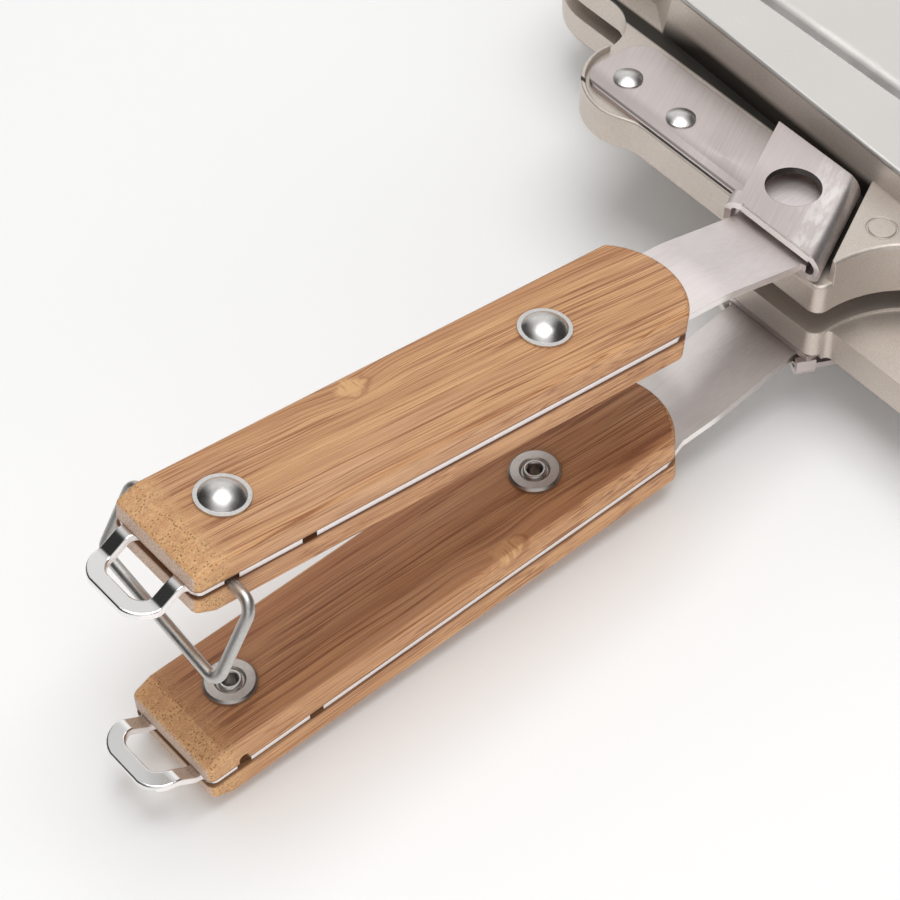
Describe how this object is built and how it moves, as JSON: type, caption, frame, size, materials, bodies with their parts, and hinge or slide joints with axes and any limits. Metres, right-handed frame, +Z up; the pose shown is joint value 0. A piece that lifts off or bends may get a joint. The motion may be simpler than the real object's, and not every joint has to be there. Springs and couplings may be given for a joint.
{
  "type": "sandwich iron",
  "caption": "Hinged cast sandwich iron with bamboo-scaled strip handles, folded handle keepers and a wire bail that ties the handles.",
  "frame": {"origin": "under the middle of the whole iron, on the surface it rests on", "axes": "+Z up, +Y from the handles to the hinge, +X to the right seen from the handle end"},
  "size_m": [0.232, 0.3264, 0.0766],
  "materials": {
    "cast_aluminium": "satin cast, warm grey",
    "keeper_steel": "satin rolled stainless sheet",
    "strip_steel": "satin rolled stainless strip",
    "bamboo": "oiled laminated bamboo",
    "bright_steel": "polished steel",
    "wire_steel": "drawn stainless wire"
  },
  "bodies": {
    "lower_pan": {"lower_pan_casting": "cast_aluminium", "lower_handle_keeper": "keeper_steel", "lower_keeper_rivets": "bright_steel", "hinge_pin": "wire_steel"},
    "upper_pan": {"upper_pan_casting": "cast_aluminium", "upper_handle_keeper": "keeper_steel", "upper_keeper_rivets": "bright_steel"},
    "upper_handle": {"upper_handle_strip": "strip_steel", "upper_outer_scale": "bamboo", "upper_inner_scale": "bamboo", "upper_handle_rivets": "bright_steel", "upper_rivet_washers": "bright_steel"},
    "lower_handle": {"lower_handle_strip": "strip_steel", "lower_outer_scale": "bamboo", "lower_inner_scale": "bamboo", "lower_handle_rivets": "bright_steel", "lower_rivet_washers": "bright_steel"},
    "bail": {"bail": "wire_steel"}
  },
  "joints": [
    {"name": "pan_hinge", "type": "hinge", "parent": "lower_pan", "child": "upper_pan", "pos_m": [0, 0.15819, 0.02097], "axis": [-1, 0, 0], "range_deg": [-2.46, 177.54]},
    {"name": "upper_handle_draw", "type": "slide", "parent": "upper_pan", "child": "upper_handle", "axis": [0.4617, -0.8841, 0.0717], "range_m": [0, 0.028]},
    {"name": "lower_handle_draw", "type": "slide", "parent": "lower_pan", "child": "lower_handle", "axis": [-0.4617, -0.8864, 0.0337], "range_m": [0, 0.028]},
    {"name": "bail_swing", "type": "hinge", "parent": "upper_handle", "child": "bail", "pos_m": [0, -0.13913, 0.06624], "axis": [-1, 0, 0], "range_deg": [-86, 48]}
  ]
}
